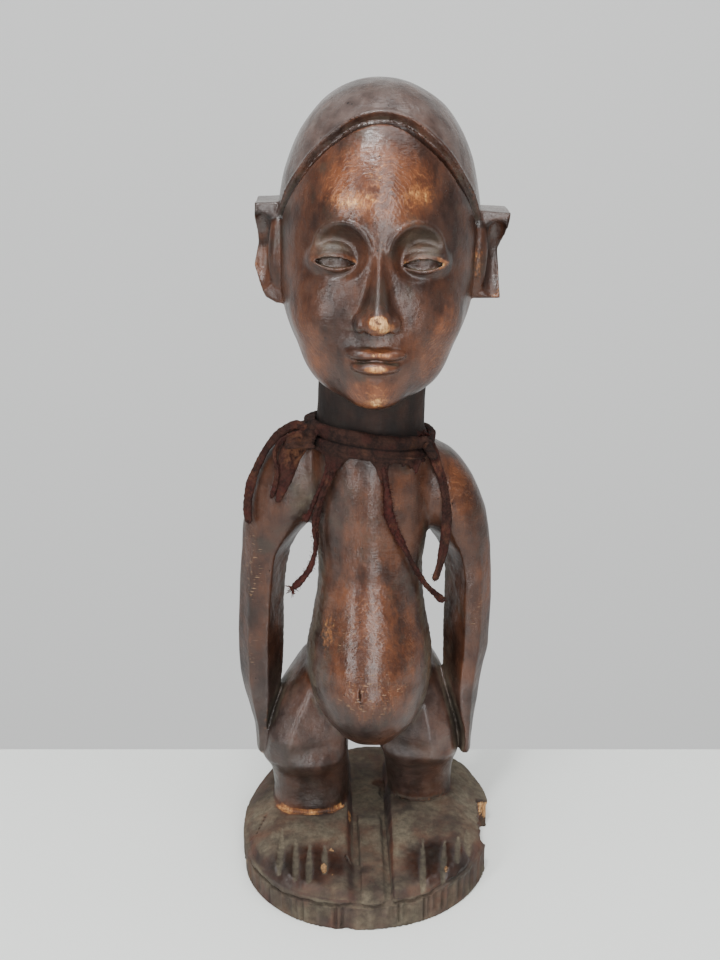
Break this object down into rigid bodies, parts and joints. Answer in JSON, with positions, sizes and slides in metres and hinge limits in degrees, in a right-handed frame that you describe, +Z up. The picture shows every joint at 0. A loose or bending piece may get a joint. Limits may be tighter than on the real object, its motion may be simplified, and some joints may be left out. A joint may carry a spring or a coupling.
{
  "type": "power figure",
  "caption": "Carved wooden standing power figure on its own round base, with a rolled hide collar and hide thongs hanging from the neck.",
  "frame": {"origin": "on the underside of the base, at about its middle", "axes": "+Z up through the head, -Y the way the figure faces, +X its left hand"},
  "size_m": [0.1207, 0.1337, 0.36],
  "materials": {
    "wood": "carved dark hardwood with an old rubbed patina, worn paler on the high places and dusty in the hollows",
    "hide": "dry reddish-brown hide, matt and wrinkled, with frayed ends"
  },
  "bodies": {
    "root": {"figure": "wood", "hide_collar": "hide", "thong_1": "hide", "thong_2": "hide", "thong_3": "hide", "thong_4": "hide", "thong_5": "hide", "thong_6": "hide"}
  },
  "joints": []
}
